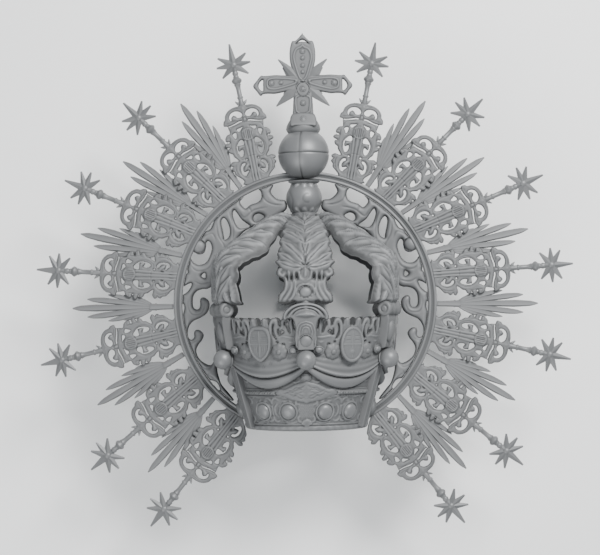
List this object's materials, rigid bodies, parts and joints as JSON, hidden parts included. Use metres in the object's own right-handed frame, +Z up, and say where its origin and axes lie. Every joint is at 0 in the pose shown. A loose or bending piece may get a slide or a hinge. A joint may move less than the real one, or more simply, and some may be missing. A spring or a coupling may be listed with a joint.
{
  "type": "royal crown with halo",
  "caption": "Arched royal crown of frosted silver with knobs, globe, orb and cross, ringed by a halo of openwork panels, feather sheaves and star-tipped rays.",
  "frame": {"origin": "on the table under the middle of the crown's length and width, as it lies on its back", "axes": "+X is the crown's left-to-right width, +Y runs up the crown's axis towards the cross, and +Z is up, out of the crown's front"},
  "size_m": [0.671, 0.6126, 0.255],
  "materials": {
    "frosted_silver": "cast and chased silver, frosted matt",
    "burnished_silver": "cast and turned silver, softly burnished"
  },
  "bodies": {
    "root": {"crown_basket": "frosted_silver", "arch_front": "frosted_silver", "arch_front_right": "frosted_silver", "arch_back_right": "frosted_silver", "arch_back": "frosted_silver", "arch_back_left": "frosted_silver", "arch_front_left": "frosted_silver", "knob_front": "burnished_silver", "knob_front_right": "burnished_silver", "knob_back_right": "burnished_silver", "knob_back": "burnished_silver", "knob_back_left": "burnished_silver", "knob_front_left": "burnished_silver", "small_globe": "burnished_silver", "orb": "burnished_silver", "cross": "frosted_silver", "halo_ring": "burnished_silver", "scroll_tracery_left": "frosted_silver", "scroll_tracery_right": "frosted_silver", "ray_panel_left_1": "frosted_silver", "ray_panel_left_2": "frosted_silver", "ray_panel_left_3": "frosted_silver", "ray_panel_left_4": "frosted_silver", "ray_panel_left_5": "frosted_silver", "ray_panel_left_6": "frosted_silver", "ray_panel_left_7": "frosted_silver", "ray_panel_right_1": "frosted_silver", "ray_panel_right_2": "frosted_silver", "ray_panel_right_3": "frosted_silver", "ray_panel_right_4": "frosted_silver", "ray_panel_right_5": "frosted_silver", "ray_panel_right_6": "frosted_silver", "ray_panel_right_7": "frosted_silver", "feather_fan_left_1": "frosted_silver", "feather_fan_left_2": "frosted_silver", "feather_fan_left_3": "frosted_silver", "feather_fan_left_4": "frosted_silver", "feather_fan_left_5": "frosted_silver", "feather_fan_left_6": "frosted_silver", "feather_fan_right_1": "frosted_silver", "feather_fan_right_2": "frosted_silver", "feather_fan_right_3": "frosted_silver", "feather_fan_right_4": "frosted_silver", "feather_fan_right_5": "frosted_silver", "feather_fan_right_6": "frosted_silver", "star_finial_left_1": "burnished_silver", "star_finial_left_2": "burnished_silver", "star_finial_left_3": "burnished_silver", "star_finial_left_4": "burnished_silver", "star_finial_left_5": "burnished_silver", "star_finial_left_6": "burnished_silver", "star_finial_left_7": "burnished_silver", "star_finial_right_1": "burnished_silver", "star_finial_right_2": "burnished_silver", "star_finial_right_3": "burnished_silver", "star_finial_right_4": "burnished_silver", "star_finial_right_5": "burnished_silver", "star_finial_right_6": "burnished_silver", "star_finial_right_7": "burnished_silver"}
  },
  "joints": []
}
